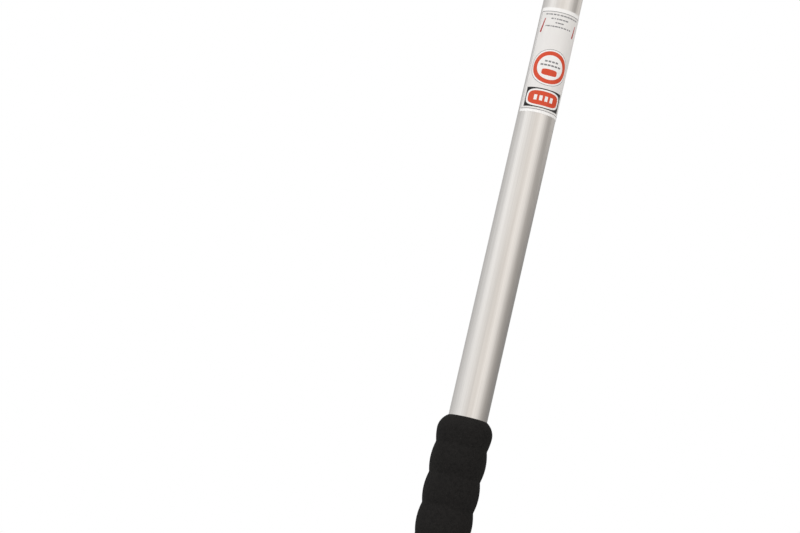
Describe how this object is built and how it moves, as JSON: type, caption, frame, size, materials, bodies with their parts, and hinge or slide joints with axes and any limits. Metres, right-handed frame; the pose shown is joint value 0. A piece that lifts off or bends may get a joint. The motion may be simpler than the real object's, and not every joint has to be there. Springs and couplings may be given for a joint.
{
  "type": "telescoping pole saw",
  "caption": "Curved pruning saw blade on a telescoping tube pole with cam-lever clamps, a foam grip and a limb hook.",
  "frame": {"origin": "centre of the butt cap's flat end", "axes": "+Z along the pole towards the blade, -Y the label side, +X the side of the clamps' ears; the teeth face -X"},
  "size_m": [0.1384, 0.0493, 1.5383],
  "materials": {
    "tube": "satin",
    "foam": "matte",
    "label": "gloss",
    "black_plastic": "matte",
    "lever_plastic": "satin",
    "nylon": "matte",
    "zinc_steel": "satin",
    "cast_head": "matte",
    "blade_steel": "satin",
    "hook_steel": "satin"
  },
  "bodies": {
    "handle_section": {"outer_tube": "tube", "foam_grip": "foam", "pole_label": "label", "butt_cap": "black_plastic", "lower_collar": "black_plastic", "lower_collar_screws": "zinc_steel", "lower_cam_pin": "zinc_steel", "lower_cam_pad": "zinc_steel", "lower_draw_bolt": "zinc_steel", "lower_tension_washer": "zinc_steel", "lower_tension_nut": "zinc_steel"},
    "lower_lever": {"lower_lever": "lever_plastic"},
    "middle_section": {"middle_tube": "tube", "middle_tube_foot": "nylon", "upper_collar": "black_plastic", "upper_collar_screws": "zinc_steel", "upper_cam_pin": "zinc_steel", "upper_cam_pad": "zinc_steel", "upper_draw_bolt": "zinc_steel", "upper_tension_washer": "zinc_steel", "upper_tension_nut": "zinc_steel"},
    "upper_lever": {"upper_lever": "lever_plastic"},
    "top_section": {"inner_tube": "tube", "inner_tube_foot": "nylon", "button_spring": "zinc_steel", "saw_head": "cast_head", "limb_hook": "hook_steel", "hook_rivet": "zinc_steel", "pivot_bolt": "zinc_steel", "pivot_washer": "zinc_steel", "pivot_nut": "zinc_steel", "lock_bolt": "zinc_steel"},
    "snap_button": {"snap_button": "zinc_steel"},
    "blade": {"saw_blade": "blade_steel"},
    "lock_washer": {"lock_washer": "zinc_steel"},
    "wing_nut": {"wing_nut": "zinc_steel"}
  },
  "joints": [
    {"name": "middle_slide", "type": "slide", "parent": "handle_section", "child": "middle_section", "axis": [0, 0, 1], "range_m": [0, 0.7]},
    {"name": "top_slide", "type": "slide", "parent": "middle_section", "child": "top_section", "axis": [0, 0, 1], "range_m": [0, 0.7]},
    {"name": "lower_lever_turn", "type": "hinge", "parent": "handle_section", "child": "lower_lever", "pos_m": [0.0275, -0.016, 0.9198], "axis": [0, 0, 1], "range_deg": [0, 150]},
    {"name": "upper_lever_turn", "type": "hinge", "parent": "middle_section", "child": "upper_lever", "pos_m": [0.0257, -0.016, 0.9978], "axis": [0, 0, 1], "range_deg": [0, 150]},
    {"name": "button_press", "type": "slide", "parent": "top_section", "child": "snap_button", "axis": [0, 1, 0], "range_m": [0, 0.006], "stiffness_N_per_m": 800, "springref_m": -0.004, "deforming": ["button_spring"]},
    {"name": "blade_swing", "type": "hinge", "parent": "top_section", "child": "blade", "pos_m": [0, 0, 1.157], "axis": [0, 1, 0], "range_deg": [-15, 15]},
    {"name": "lock_washer_slide", "type": "slide", "parent": "top_section", "child": "lock_washer", "axis": [0, -1, 0], "range_m": [0, 0.002]},
    {"name": "wing_nut_turn", "type": "hinge", "parent": "lock_washer", "child": "wing_nut", "pos_m": [0, -0.0028, 1.191], "axis": [0, -1, 0], "range_deg": [0, 720]}
  ],
  "couplings": [
    {"joint": "wing_nut_turn", "follows": "lock_washer_slide", "rad_per_m": 6283.2}
  ]
}
